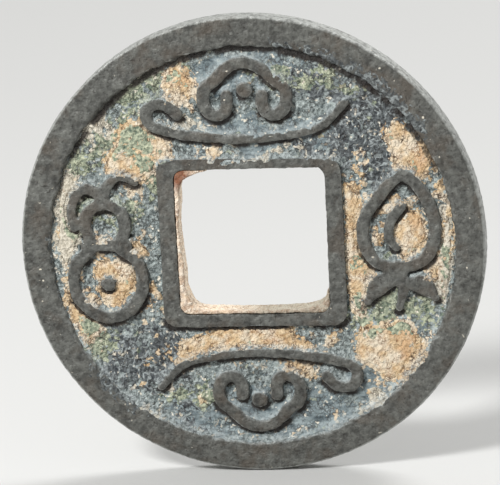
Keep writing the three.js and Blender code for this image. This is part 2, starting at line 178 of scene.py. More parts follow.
class CoinSizes(bpy.types.PropertyGroup):
    """The sizes that a user would change"""
    rim_width: length_property("Rim width", "Width of the flat of the rim", 0.00165)
    rim_draft: length_property("Rim draft", "How far the rim's inner side leans in at its foot", 0.0001)
    edge_round: length_property("Edge rounding", "How far wear has rounded the rim's outer edges", 0.00022)
    collar_side_wall: length_property("Collar side wall", "Collar left and right of the hole", 0.001)
    collar_top_wall: length_property("Collar top wall", "Collar above the hole", 0.00065)
    collar_bottom_wall: length_property("Collar bottom wall", "Collar below the hole", 0.0008)
    collar_slant: length_property("Collar slant", "How much thicker its upper wall is at the left",
                                  0.00012)
    obverse_grid: length_property("Obverse grid", "Spacing of the obverse field's mesh", 0.000062)
    reverse_grid: length_property("Reverse grid", "Spacing of the reverse field's mesh", 0.000085)
    metal_voxel: length_property("Metal voxel", "Fineness of the collar's and marks' meshes", 0.00006)
    earth_voxel: length_property("Earth voxel", "Fineness of the earth's meshes", 0.00007)
    hole_voxel: length_property("Hole voxel", "Fineness of the mesh of the hole's earth", 0.00005)
    rim_steps: IntProperty(name="Rim steps", description="Steps round the rim", default=720, min=64)


class CoinColours(bpy.types.PropertyGroup):
    """The colours of the metal, the crust and the earth"""
    bronze_light: colour_property("Bronze, light", "Rubbed metal", paint(116, 117, 112))
    bronze_dark: colour_property("Bronze, dark", "Toned metal", paint(60, 60, 57))
    bronze_brown: colour_property("Bronze, brown", "Brown patches of the toned metal", paint(88, 79, 69))
    # Pale edge colour: partly worn metal, partly painted highlight on the edges
    bronze_edge_and_highlight: colour_property("Bronze, edges", "Metal worn pale on its edges", paint(176, 178, 174))
    crust_light: colour_property("Crust, light", "Pale grains of the grey crust", paint(192, 202, 199))
    crust_dark: colour_property("Crust, dark", "Dark grains of the grey crust", paint(78, 89, 90))
    # Also the painted light on upward-facing slopes beside the raised pieces
    slate_pale_and_lit: colour_property("Slate, light", "Pale threads of the thick crust", paint(180, 188, 188))
    slate_dark: colour_property("Slate, dark", "Ground of the thick crust", paint(46, 51, 56))
    streak_light: colour_property("Streaks, light", "Pale bands of the smooth crust", paint(164, 177, 179))
    streak_dark: colour_property("Streaks, dark", "Dark bands of the smooth crust", paint(76, 90, 96))
    green_light: colour_property("Verdigris, light", "Pale green grains", paint(210, 214, 184))
    green_dark: colour_property("Verdigris, dark", "Deep green grains", paint(70, 90, 79))
    ochre_light: colour_property("Ochre, light", "Pale grains of the earth", paint(240, 216, 178))
    ochre_dark: colour_property("Ochre, dark", "Deep grains of the earth", paint(196, 163, 121))
    ochre_deep: colour_property("Ochre, rusty", "Rusty patches of the earth", paint(212, 168, 124))
    cream_light: colour_property("Cream, light", "Chalky grains", paint(240, 232, 214))
    cream_dark: colour_property("Cream, dark", "Chalky earth in its hollows", paint(174, 166, 148))
    hole_light: colour_property("Hole earth, light", "Peach coloured earth in the hole", paint(255, 244, 226))
    hole_dark: colour_property("Hole earth, dark", "The same in its hollows", paint(238, 212, 182))
    earth_brown: colour_property("Earth, brown", "Brown specks and gaps of the earth", paint(134, 94, 62))
    rust_spot: colour_property("Rust", "Rusty earth in the hole's upper left corner", paint(124, 62, 26))
    # The painted shade under ledges and walls, also the colour of dark pits and of the gaps between grains
    shadow_brown: colour_property("Crevice", "Dark grime in the crevices", paint(38, 32, 28))
    floor: colour_property("Floor", "The pale floor and backdrop", paint(214, 214, 212))


class StageSettings(bpy.types.PropertyGroup):
    """The camera and the light"""
    azimuth: FloatProperty(name="Azimuth", description="Camera, to the right of the obverse",
                           default=math.radians(8), subtype="ANGLE")
    elevation: FloatProperty(name="Elevation", description="Camera, above the coin's middle",
                             default=math.radians(14), subtype="ANGLE")
    roll: FloatProperty(name="Roll", description="Camera, turned clockwise", default=math.radians(3),
                        subtype="ANGLE")
    distance: length_property("Distance", "From the camera to the coin's middle", 0.2)
    coin_pixels: FloatProperty(name="Coin width", description="The coin's width in the picture, in pixels",
                               default=468)
    middle_x: FloatProperty(name="Middle, across", description="The coin's middle, in pixels", default=253.5)
    middle_y: FloatProperty(name="Middle, down", description="The coin's middle, in pixels", default=243.5)
    key_power: FloatProperty(name="Key light", description="Power of the large lamp", default=0.5,
                             unit="POWER")
    top_power: FloatProperty(name="Top light", description="Power of the lamp behind the coin", default=1.5,
                             unit="POWER")
    fill: FloatProperty(name="Fill light", description="Strength of the light from all round", default=0.36)


# Modelling helpers. They work in millimetres.

def in_mm(metres):
    return metres / MM


def deselect():
    bpy.ops.object.select_all(action="DESELECT")


def pick_object(piece):
    deselect()
    piece.select_set(True)
    bpy.context.view_layer.objects.active = piece


def edit(piece, mode="VERT"):
    pick_object(piece)
    bpy.ops.object.mode_set(mode="EDIT")
    bpy.ops.mesh.select_mode(type=mode)


def end_edit():
    bpy.ops.object.mode_set(mode="OBJECT")


def select(kind, test):
    """In edit mode, selects just the verts, edges or faces that pass the test"""
    mesh = bmesh.from_edit_mesh(bpy.context.object.data)
    bpy.ops.mesh.select_all(action="DESELECT")
    for element in getattr(mesh, kind):
        if test(element):
            element.select_set(True)
    mesh.select_flush_mode()
    bmesh.update_edit_mesh(bpy.context.object.data)


def middle(element):
    return sum((v.co for v in element.verts), Vector()) / len(element.verts)


def named(name):
    piece = bpy.context.object
    piece.name = name
    piece.data.name = name
    return piece


def apply(piece, kind, **settings):
    """Adds a modifier with these settings and applies it"""
    pick_object(piece)
    modifier = piece.modifiers.new(kind.lower(), kind)
    for key, value in settings.items():
        setattr(modifier, key, value)
    bpy.ops.object.modifier_apply(modifier=modifier.name)


def relief(name, kind, size, **settings):
    """A texture for a Displace modifier, with its features about as large as size"""
    texture = bpy.data.textures.get(name) or bpy.data.textures.new(name, kind)
    texture.noise_scale = size
    for key, value in settings.items():
        setattr(texture, key, value)
    return texture


def roughen(piece, texture, strength, group="", mid_level=0.5):
    apply(piece, "DISPLACE", texture=texture, texture_coords="LOCAL", strength=strength,
          mid_level=mid_level, vertex_group=group)


def copy_of_node(node, name):
    """A CAD node's mesh as a new object in millimetres, with its loose triangles merged"""
    piece = bpy.data.objects.new(name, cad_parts[node].data.copy())
    bpy.context.scene.collection.objects.link(piece)
    piece.data.materials.clear()
    pick_object(piece)
    piece.scale = (1 / MM,) * 3
    bpy.ops.object.transform_apply(location=False, rotation=False, scale=True)
    edit(piece)
    bpy.ops.mesh.select_all(action="SELECT")
    bpy.ops.mesh.remove_doubles(threshold=0.001)
    end_edit()
    return piece


def finish_piece(piece, material, slot, *nodes):
    """Brings a piece to metres and hands it to the frame in the place of its CAD nodes"""
    pick_object(piece)
    bpy.ops.object.shade_smooth()
    piece.scale = (MM,) * 3
    bpy.ops.object.transform_apply(location=False, rotation=False, scale=True)
    piece.data.materials.clear()
    piece.data.materials.append(material)
    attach(piece, BODY)
    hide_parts(*nodes)


# Deposits

def warped(points):
    """Points of the face pushed about, so that the deposits get ragged edges"""
    pushed = np.empty((len(points), 2))
    for i, (x, y, z) in enumerate(points):
        side = 3 * np.sign(y)
        broad = noise.noise_vector(Vector((x, side, z)) * 0.7)
        fine = noise.noise_vector(Vector((x, side, z)) * 2.4)
        pushed[i] = x + 0.9 * broad.x + 0.5 * fine.x, z + 0.9 * broad.z + 0.5 * fine.z
    return pushed


def patchy(points, size, seed):
    """A smooth noise from about -1 to 1 over the points, with patches of this size in millimetres"""
    sides = np.sign(points[:, 1]) + seed
    return np.array([noise.noise(Vector((x / size, side, z / size))) * 1.6
                     for (x, _, z), side in zip(points, sides)])


def deposit_share(places, deposits):
    """How much of each point the deposits cover, from 0 to 1"""
    share = np.zeros(len(places))
    for x, z, half_width, half_height, turn in deposits:
        angle = math.radians(turn)
        across, up = places[:, 0] - x, places[:, 1] - z
        along = (across * math.cos(angle) + up * math.sin(angle)) / half_width
        aside = (up * math.cos(angle) - across * math.sin(angle)) / half_height
        share = np.maximum(share, np.clip((1.5 - np.hypot(along, aside)) / 0.9, 0, 1))
    return share


def patchy_share(points, kind, deposits):
    """The share of one kind of deposit, thinned here and there so that the kinds mix"""
    seed = 3 * DEPOSIT_KINDS.index(kind)
    share = deposit_share(warped(points), deposits[kind])
    share *= DENSITY[kind] + 0.35 * patchy(points, 0.5, seed)
    return np.clip(share - 0.2 * patchy(points, 0.9, seed + 1), 0, 1)


def node_tree(nodes, only_walls=False):
    """A search tree of the faces of these CAD nodes, or of just those that stand on the web"""
    corners, faces = [], []
    for node in nodes:
        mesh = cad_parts[node].data
        start = len(corners)
        corners += [v.co / MM for v in mesh.vertices]
        faces += [[start + i for i in face.vertices] for face in mesh.polygons
                  if not only_walls or abs(face.normal.y) < 0.5]
    return BVHTree.FromPolygons(corners, faces)


def nearness(points, nodes, reach):
    """1 for the points on these CAD nodes, falling to 0 at the reach"""
    tree = node_tree(nodes)
    return np.array([max(0, 1 - tree.find_nearest(Vector(point))[3] / reach) for point in points])


def beside_walls(points, nodes, reach):
    """How near each point is to the nodes' walls, and from -1 to 1 how far above it they stand

    Under a node the nearness is 1, and above comes from how the wall faces, so that what lies
    along a wall runs on under it.
    """
    walls = node_tree(nodes, only_walls=True)
    covered = nearness(points, nodes, 0.04) > 0.5
    near, above = np.zeros(len(points)), np.zeros(len(points))
    for i, point in enumerate(points):
        at, facing, _, gap = walls.find_nearest(Vector(point))
        near[i] = 1 if covered[i] else max(0, 1 - gap / reach)
        above[i] = -facing.z if covered[i] else (at.z - point[2]) / gap
    return near, above


def points_of(piece):
    flat = np.empty(len(piece.data.vertices) * 3)
    piece.data.vertices.foreach_get("co", flat)
    return flat.reshape(-1, 3)


def store_crust(piece, sizes):
    """Keeps where crust creeps over a raised piece, where painted light lies on its upward-facing slopes and where
    painted shade lies on its walls facing down at the foot
    """
    points = points_of(piece)
    facing = np.empty(len(points) * 3)
    piece.data.vertex_normals.foreach_get("vector", facing)
    rim_inner = in_mm(COIN_RADIUS - sizes.rim_width)
    radius = np.hypot(points[:, 0], points[:, 2])
    foot = np.clip((in_mm(WEB_DEPTH) + 0.3 - np.abs(points[:, 1])) / 0.25, 0, 1)
    outside_hole = ((np.abs(points[:, 0]) > in_mm(COLLAR_CORNER.x - sizes.collar_side_wall) + 0.15)
                    | (points[:, 2] > in_mm(COLLAR_CORNER.z - sizes.collar_top_wall) + 0.15)
                    | (points[:, 2] < in_mm(COLLAR_FOOT.z + sizes.collar_bottom_wall) - 0.15))
    foot *= (radius < rim_inner + 0.2) & outside_hole
    places = warped(points)
    patches = np.where(points[:, 1] < 0, deposit_share(places, OBVERSE_CREEP),
                       deposit_share(places, REVERSE_CREEP))
    patches *= np.clip((rim_inner + 0.95 - radius) / 0.8, 0, 1)
    upwards = facing.reshape(-1, 3)[:, 2] * (radius < rim_inner + 0.5) * outside_hole
    store(piece, "creep", np.maximum(foot * (np.abs(upwards) < 0.3), patches))
    store(piece, "eaten", np.clip(1.5 * patches - 0.5, 0, 1))
    # Painted light: upward-facing slopes near the face are marked to be painted paler, as where the light falls on
    # them
    store(piece, "bank", np.clip(1.4 * upwards - 0.25, 0, 1))
    # Painted shade: walls facing down at the foot are marked to be painted dark brown, as in the shadow under them
    store(piece, "grime", np.clip(-1.6 * upwards - 0.3, 0, 1) * foot)


def store(piece, name, values):
    """Keeps a value for each point, for the shader as an attribute and for modifiers as a group"""
    attribute = piece.data.attributes.new(name, "FLOAT", "POINT")
    attribute.data.foreach_set("value", values.astype(np.float32))
    group = piece.vertex_groups.new(name=name)
    for index in np.nonzero(values > 0.004)[0]:
        group.add([int(index)], float(values[index]), "REPLACE")


# Materials

class Sheet:
    """Adds nodes to a node tree, with each input given as a value or as another node's output"""

    def __init__(self, tree):
        self.tree = tree

    def node(self, kind, inputs=(), **settings):
        made = self.tree.nodes.new(kind)
        for key, value in settings.items():
            setattr(made, key, value)
        for key, value in dict(inputs).items():
            self.feed(made.inputs[key], value)
        return made

    def feed(self, socket, value):
        if isinstance(value, bpy.types.NodeSocket):
            self.tree.links.new(value, socket)
        else:
            socket.default_value = value

    def maths(self, operation, first, second=0.0):
        return self.node("ShaderNodeMath", {0: first, 1: second}, operation=operation).outputs[0]

    def remap(self, value, low, high, to_low=0.0, to_high=1.0):
        ends = {"From Min": low, "From Max": high, "To Min": to_low, "To Max": to_high}
        return self.node("ShaderNodeMapRange", {"Value": value, **ends}).outputs[0]

    def mix(self, share, first, second, blend="MIX"):
        made = self.node("ShaderNodeMix", data_type="RGBA", blend_type=blend)
        for name, value in zip(("Factor", "A", "B"), (share, first, second)):
            socket = next(s for s in made.inputs if s.name == name and s.enabled)
            self.feed(socket, value)
        return next(s for s in made.outputs if s.enabled)

    def clouds(self, place, scale, detail=2.0, roughness=0.55):
        inputs = {"Vector": place, "Scale": scale, "Detail": detail, "Roughness": roughness}
        return self.node("ShaderNodeTexNoise", inputs).outputs["Fac"]

    def cells(self, place, scale, feature="F1"):
        inputs = {"Vector": place, "Scale": scale}
        return self.node("ShaderNodeTexVoronoi", inputs, feature=feature).outputs["Distance"]

    def place(self):
        return self.node("ShaderNodeTexCoord").outputs["Object"]

    def attribute(self, name):
        return self.node("ShaderNodeAttribute", attribute_name=name).outputs["Fac"]

    def group(self, tree, **inputs):
        made = self.node("ShaderNodeGroup", node_tree=tree)
        for name, value in inputs.items():
            self.feed(made.inputs[name.replace("_", " ").capitalize()], value)
        return made.outputs


def new_group(name, inputs, outputs):
    """An empty shader node group with these sockets, and its sheet, inputs and output node"""
    tree = bpy.data.node_groups.new(name, "ShaderNodeTree")
    for direction, sockets in (("INPUT", inputs), ("OUTPUT", outputs)):
        for socket, kind in sockets.items():
            tree.interface.new_socket(socket, in_out=direction, socket_type=f"NodeSocket{kind}")
    sheet = Sheet(tree)
    return tree, sheet, sheet.node("NodeGroupInput").outputs, sheet.node("NodeGroupOutput").inputs


def grain_group():
    """Mineral grains: a tone and a pick from 0 to 1, dark gaps between the grains, and a height"""
    tree, sheet, given, out = new_group("mineral_grain", {"Place": "Vector", "Scale": "Float"}, {
        "Tone": "Float", "Pick": "Float", "Gaps": "Float", "Height": "Float"})
    place, scale = given["Place"], given["Scale"]
    wobble = sheet.node("ShaderNodeTexNoise", {"Vector": place, "Scale": scale, "Detail": 1.0}).outputs["Color"]
    wobble = sheet.node("ShaderNodeVectorMath", {0: wobble, 1: (0.5, 0.5, 0.5)}, operation="SUBTRACT")
    wobble = sheet.node("ShaderNodeVectorMath", {0: wobble.outputs[0], "Scale": sheet.maths("DIVIDE", 1.4, scale)},
                        operation="SCALE")
    pushed = sheet.node("ShaderNodeVectorMath", {0: place, 1: wobble.outputs[0]}, operation="ADD").outputs[0]
    grains = sheet.node("ShaderNodeTexVoronoi", {"Vector": pushed, "Scale": scale}).outputs
    picks = sheet.node("ShaderNodeSeparateColor", {0: grains["Color"]}).outputs
    edge = sheet.cells(pushed, scale, "DISTANCE_TO_EDGE")
    fine = sheet.remap(sheet.clouds(place, sheet.maths("MULTIPLY", scale, 1.2), 1.5, 0.5), 0.34, 0.66)
    tone = sheet.maths("ADD", sheet.maths("MULTIPLY", picks["Red"], 0.45), sheet.maths("MULTIPLY", fine, 0.55))
    sheet.feed(out["Tone"], tone)
    sheet.feed(out["Pick"], picks["Green"])
    loose = sheet.remap(sheet.clouds(place, sheet.maths("MULTIPLY", scale, 0.4)), 0.42, 0.6)
    sheet.feed(out["Gaps"], sheet.maths("MULTIPLY", sheet.remap(edge, 0.16, 0.02), loose))
    sheet.feed(out["Height"], sheet.maths("SUBTRACT", fine, sheet.maths("MULTIPLY", grains["Distance"], 0.7)))
    return tree


def crumble_group():
    """A soft share turned into a ragged edge, grain by grain"""
    tree, sheet, given, out = new_group("crumbled_edge", {"Share": "Float", "Pick": "Float"},
                                        {"Share": "Float"})
    left = sheet.maths("SUBTRACT", given["Share"], sheet.maths("MULTIPLY", given["Pick"], 0.8))
    sheet.feed(out["Share"], sheet.remap(left, 0.04, 0.14))
    return tree


def thread_group():
    """Short pale threads and specks that wind about, as a mask"""
    tree, sheet, given, out = new_group("threads", {"Place": "Vector", "Scale": "Float", "Amount": "Float"},
                                        {"Share": "Float"})
    winding = sheet.maths("SUBTRACT", sheet.clouds(given["Place"], given["Scale"], 1.0, 0.5), 0.5)
    line = sheet.remap(sheet.maths("ABSOLUTE", winding), 0.075, 0.03)
    broken = sheet.clouds(given["Place"], sheet.maths("MULTIPLY", given["Scale"], 1.3), 0.0)
    broken = sheet.maths("ADD", broken, sheet.maths("MULTIPLY", given["Amount"], 0.4))
    sheet.feed(out["Share"], sheet.maths("MULTIPLY", line, sheet.remap(broken, 0.66, 0.74)))
    return tree


def fleck_group():
    """Scattered small flecks, as a mask"""
    tree, sheet, given, out = new_group("flecks", {"Place": "Vector", "Scale": "Float", "Amount": "Float"},
                                        {"Share": "Float"})
    blots = sheet.clouds(given["Place"], given["Scale"], 1.0, 0.4)
    raised = sheet.maths("ADD", blots, sheet.maths("MULTIPLY", given["Amount"], 0.3))
    sheet.feed(out["Share"], sheet.remap(raised, 0.84, 0.89))
    return tree


EFFECTS = {"mineral_grain": grain_group, "crumbled_edge": crumble_group, "threads": thread_group,
           "flecks": fleck_group}


def effect(name):
    """A shared node group, made once"""
    return bpy.data.node_groups.get(name) or EFFECTS[name]()


def new_material(name):
    material = bpy.data.materials.new(name)
    material.use_nodes = True
    tree = material.node_tree
    return material, Sheet(tree), tree.nodes["Principled BSDF"]


def bump(sheet, shader, height, distance, strength=1.0):
    inputs = {"Height": height, "Distance": distance, "Strength": strength}
    sheet.feed(shader.inputs["Normal"], sheet.node("ShaderNodeBump", inputs).outputs[0])


def bronze_material(colours):
    """Toned bronze: a soft mottle, brown patches, pale edges that are partly wear and partly painted highlight,
    specks and creeping crust, with painted light on upward-facing slopes and painted shade on walls facing down at
    the foot
    """
    material = bpy.data.materials.get("worn_bronze")
    if material:
        return material
    material, sheet, shader = new_material("worn_bronze")
    place = sheet.place()
    grain = sheet.group(effect("mineral_grain"), place=place, scale=5200.0)
    mottle = sheet.remap(sheet.clouds(place, 3500.0, 2.5, 0.55), 0.32, 0.68)
    broad = sheet.remap(sheet.clouds(place, 1100.0, 2.0), 0.35, 0.65)
    tone = sheet.maths("ADD", sheet.maths("MULTIPLY", mottle, 0.65), sheet.maths("MULTIPLY", broad, 0.35))
    colour = sheet.mix(tone, colours.bronze_dark, colours.bronze_light)
    brown = sheet.remap(sheet.clouds(place, 640.0, 4.0, 0.6), 0.48, 0.64, 0.0, 0.6)
    colour = sheet.mix(brown, colour, colours.bronze_brown)
    pits = sheet.group(effect("flecks"), place=place, scale=6100.0, amount=0.66)["Share"]
    colour = sheet.mix(sheet.maths("MULTIPLY", pits, 0.5), colour, colours.shadow_brown)
    surface = sheet.node("ShaderNodeNewGeometry").outputs
    # Pale rounded edges: partly wear, partly painted highlight
    edges = sheet.remap(surface["Pointiness"], 0.515, 0.6, 0.0, 0.75)
    edges = sheet.maths("MULTIPLY", edges, sheet.remap(mottle, 0.1, 0.8, 0.35, 1.0))
    edges = sheet.maths("MULTIPLY", edges, sheet.remap(sheet.attribute("creep"), 0.0, 0.15, 1.0, 0.0))
    depthwise = sheet.maths("ABSOLUTE", sheet.node("ShaderNodeSeparateXYZ", {0: surface["Normal"]}).outputs["Y"])
    edges = sheet.maths("MULTIPLY", edges, sheet.remap(depthwise, 0.96, 0.84))
    colour = sheet.mix(edges, colour, colours.bronze_edge_and_highlight)
    # The outer edge all round painted pale: partly wear, partly painted highlight
    rubbed = sheet.maths("MULTIPLY", sheet.attribute("rubbed"), sheet.remap(mottle, 0.0, 0.7, 0.3, 0.9))
    colour = sheet.mix(rubbed, colour, colours.bronze_edge_and_highlight)
    # Painted light: upward-facing slopes painted paler in the pale slate colour, as where the light falls on them
    lit_slopes = sheet.maths("MULTIPLY", sheet.attribute("bank"), sheet.remap(grain["Tone"], 0.2, 0.8, 0.3, 0.8))
    colour = sheet.mix(lit_slopes, colour, colours.slate_pale_and_lit)
    specks = sheet.group(effect("flecks"), place=place, scale=3300.0, amount=0.26)["Share"]
    colour = sheet.mix(sheet.maths("MULTIPLY", specks, 0.8), colour, colours.cream_light)
    creep = sheet.group(effect("crumbled_edge"), share=sheet.attribute("creep"), pick=grain["Pick"])["Share"]
    colour = sheet.mix(sheet.maths("MULTIPLY", creep, 0.75), colour, slate_colour(sheet, colours, place, grain))
    # Painted shade: dark brown on the walls facing down at the foot, where the shadow under them falls
    colour = sheet.mix(sheet.maths("MULTIPLY", sheet.attribute("grime"), 0.85), colour, colours.shadow_brown)
    sheet.feed(shader.inputs["Base Color"], colour)
    rough = sheet.maths("ADD", sheet.remap(mottle, 0, 1, 0.66, 0.48), sheet.maths("MULTIPLY", creep, 0.25))
    sheet.feed(shader.inputs["Roughness"], rough)
    shader.inputs["Metallic"].default_value = 0.25
    height = sheet.maths("ADD", mottle, sheet.maths("MULTIPLY", creep, grain["Height"]))
    bump(sheet, shader, height, 0.00005)
    return material


def slate_colour(sheet, colours, place, grain):
    """The colour of the thick crust: pale threads on a dark ground"""
    colour = sheet.mix(sheet.maths("MULTIPLY", grain["Tone"], 0.42), colours.slate_dark, colours.slate_pale_and_lit)
    threads = sheet.group(effect("threads"), place=place, scale=2300.0, amount=0.56)["Share"]
    return sheet.mix(sheet.maths("MULTIPLY", threads, 0.72), colour, colours.slate_pale_and_lit)


def earth_colour(sheet, colours, place, grain, dark, light):
    """The colour of crumbly earth: pale and rusty patches, brown specks and gaps"""
    colour = sheet.mix(grain["Tone"], dark, light)
    pale = sheet.remap(sheet.clouds(place, 1300.0), 0.44, 0.64, 0.0, 0.65)
    colour = sheet.mix(pale, colour, colours.cream_light)
    specks = sheet.group(effect("flecks"), place=place, scale=4400.0, amount=0.54)["Share"]
    return sheet.mix(sheet.maths("MULTIPLY", sheet.maths("MAXIMUM", specks, grain["Gaps"]), 0.75),
                     colour, colours.earth_brown)


def lay_deposits(sheet, colour, grain, tints):
    """The colour with each tint laid over it where the attribute of its name is, grain by grain"""
    for kind, tint in tints.items():
        share = sheet.group(effect("crumbled_edge"), share=sheet.attribute(kind), pick=grain["Pick"])["Share"]
        colour = sheet.mix(share, colour, tint)
    return colour


def crust_material(colours):
    """The field: grey crust with thick, streaked, green, chalky and ochre deposits"""
    material = bpy.data.materials.get("field_crust")
    if material:
        return material
    material, sheet, shader = new_material("field_crust")
    place = sheet.place()
    grain = sheet.group(effect("mineral_grain"), place=place, scale=4600.0)
    bands = sheet.node("ShaderNodeMapping", {"Vector": place, "Scale": (0.3, 1.0, 1.0)}).outputs[0]
    bands = sheet.node("ShaderNodeTexNoise", {"Vector": bands, "Scale": 2800.0, "Detail": 3.0,
                                              "Distortion": 0.8}).outputs["Fac"]
    bands = sheet.remap(bands, 0.34, 0.66)
    colour = sheet.mix(grain["Tone"], colours.crust_dark, colours.crust_light)
    mixed = sheet.maths("ADD", sheet.maths("MULTIPLY", bands, 0.8), sheet.maths("MULTIPLY", grain["Tone"], 0.2))
    colour = lay_deposits(sheet, colour, grain, {
        "slate": slate_colour(sheet, colours, place, grain),
        "streaked": sheet.mix(mixed, colours.streak_dark, colours.streak_light),
        "verdigris": sheet.mix(grain["Tone"], colours.green_dark, colours.green_light),
        "cream": sheet.mix(grain["Tone"], colours.cream_dark, colours.cream_light),
        "ochre": earth_colour(sheet, colours, place, grain, colours.ochre_dark, colours.ochre_light),
    })
    flecks = sheet.group(effect("flecks"), place=place, scale=4000.0, amount=0.54)["Share"]
    colour = sheet.mix(sheet.maths("MULTIPLY", flecks, 0.9), colour, colours.cream_light)
    colour = sheet.mix(sheet.maths("MULTIPLY", grain["Gaps"], 0.75), colour, colours.shadow_brown)
    # Painted light: the field's banks below raised parts painted paler
    bank = sheet.maths("MULTIPLY", sheet.attribute("bank"), sheet.remap(grain["Tone"], 0.3, 0.8, 0.2, 0.75))
    colour = sheet.mix(bank, colour, colours.slate_pale_and_lit)
    # Painted shadow: the field painted dark brown under the raised walls above it
    crevice = sheet.maths("SUBTRACT", sheet.attribute("crevice"), sheet.maths("MULTIPLY", grain["Tone"], 0.25))
    colour = sheet.mix(sheet.remap(crevice, 0.05, 0.5, 0.0, 0.95), colour, colours.shadow_brown)
    sheet.feed(shader.inputs["Base Color"], colour)
    sheet.feed(shader.inputs["Roughness"], sheet.remap(grain["Tone"], 0, 1, 0.95, 0.7))
    calm = sheet.remap(sheet.attribute("streaked"), 0.0, 0.8, 1.0, 0.4)
    bump(sheet, shader, grain["Height"], 0.00009, calm)
    return material


def earth_material(name, colours, dark, light):
    """Dried earth: crumbly, with rusty patches, and with green and chalky grains mixed in"""
    material = bpy.data.materials.get(name)
    if material:
        return material
    material, sheet, shader = new_material(name)
    place = sheet.place()
    grain = sheet.group(effect("mineral_grain"), place=place, scale=4600.0)
    colour = earth_colour(sheet, colours, place, grain, dark, light)
    rusty = sheet.remap(sheet.clouds(place, 900.0, 3.0), 0.52, 0.66, 0.0, 0.55)
    deep = colours.ochre_deep if name == "ochre_earth" else colours.hole_dark
    colour = lay_deposits(sheet, sheet.mix(rusty, colour, deep), grain, {
        "verdigris": sheet.mix(grain["Tone"], colours.green_dark, colours.green_light),
        "cream": sheet.mix(grain["Tone"], colours.cream_dark, colours.cream_light),
    })
    sheet.feed(shader.inputs["Base Color"], colour)
    sheet.feed(shader.inputs["Roughness"], sheet.remap(grain["Tone"], 0, 1, 0.98, 0.85))
    bump(sheet, shader, grain["Height"], 0.00006)
    return material


def hole_earth_material(colours):
    """Earth in the hole: peach coloured, chalky under the hole, rusty in the upper left corner"""
    material, sheet, shader = new_material("hole_earth")
    place = sheet.place()
    grain = sheet.group(effect("mineral_grain"), place=place, scale=4600.0)
    colour = sheet.mix(grain["Tone"], colours.hole_dark, colours.hole_light)
    at = sheet.node("ShaderNodeSeparateXYZ", {0: place}).outputs
    chalky = sheet.mix(sheet.maths("MULTIPLY", grain["Tone"], 0.3), colours.cream_dark, colours.cream_light)
    low = sheet.remap(at["X"], -1.6 * MM, 0.6 * MM)
    colour = sheet.mix(sheet.maths("MULTIPLY", low, sheet.remap(at["Z"], -1.8 * MM, -2.8 * MM)), colour, chalky)
    corner = sheet.node("ShaderNodeVectorMath", {0: place, 1: (-3.75 * MM, -0.3 * MM, 3.87 * MM)},
                        operation="DISTANCE").outputs["Value"]
    spot = sheet.remap(sheet.maths("ADD", corner, sheet.maths("MULTIPLY", grain["Pick"], 0.3 * MM)),
                       1.1 * MM, 0.6 * MM, 0.0, 0.9)
    colour = sheet.mix(spot, colour, colours.rust_spot)
    brim = sheet.remap(sheet.maths("ABSOLUTE", at["Y"]), FACE_DEPTH - 0.3 * MM, FACE_DEPTH - 0.12 * MM, 0.0, 0.35)
    colour = sheet.mix(sheet.maths("MULTIPLY", brim, grain["Pick"]), colour, colours.rust_spot)
    colour = sheet.mix(sheet.maths("MULTIPLY", grain["Gaps"], 0.6), colour, colours.earth_brown)
    sheet.feed(shader.inputs["Base Color"], colour)
    sheet.feed(shader.inputs["Roughness"], sheet.remap(grain["Tone"], 0, 1, 0.98, 0.85))
    bump(sheet, shader, grain["Height"], 0.00006)
    return material


# The pieces

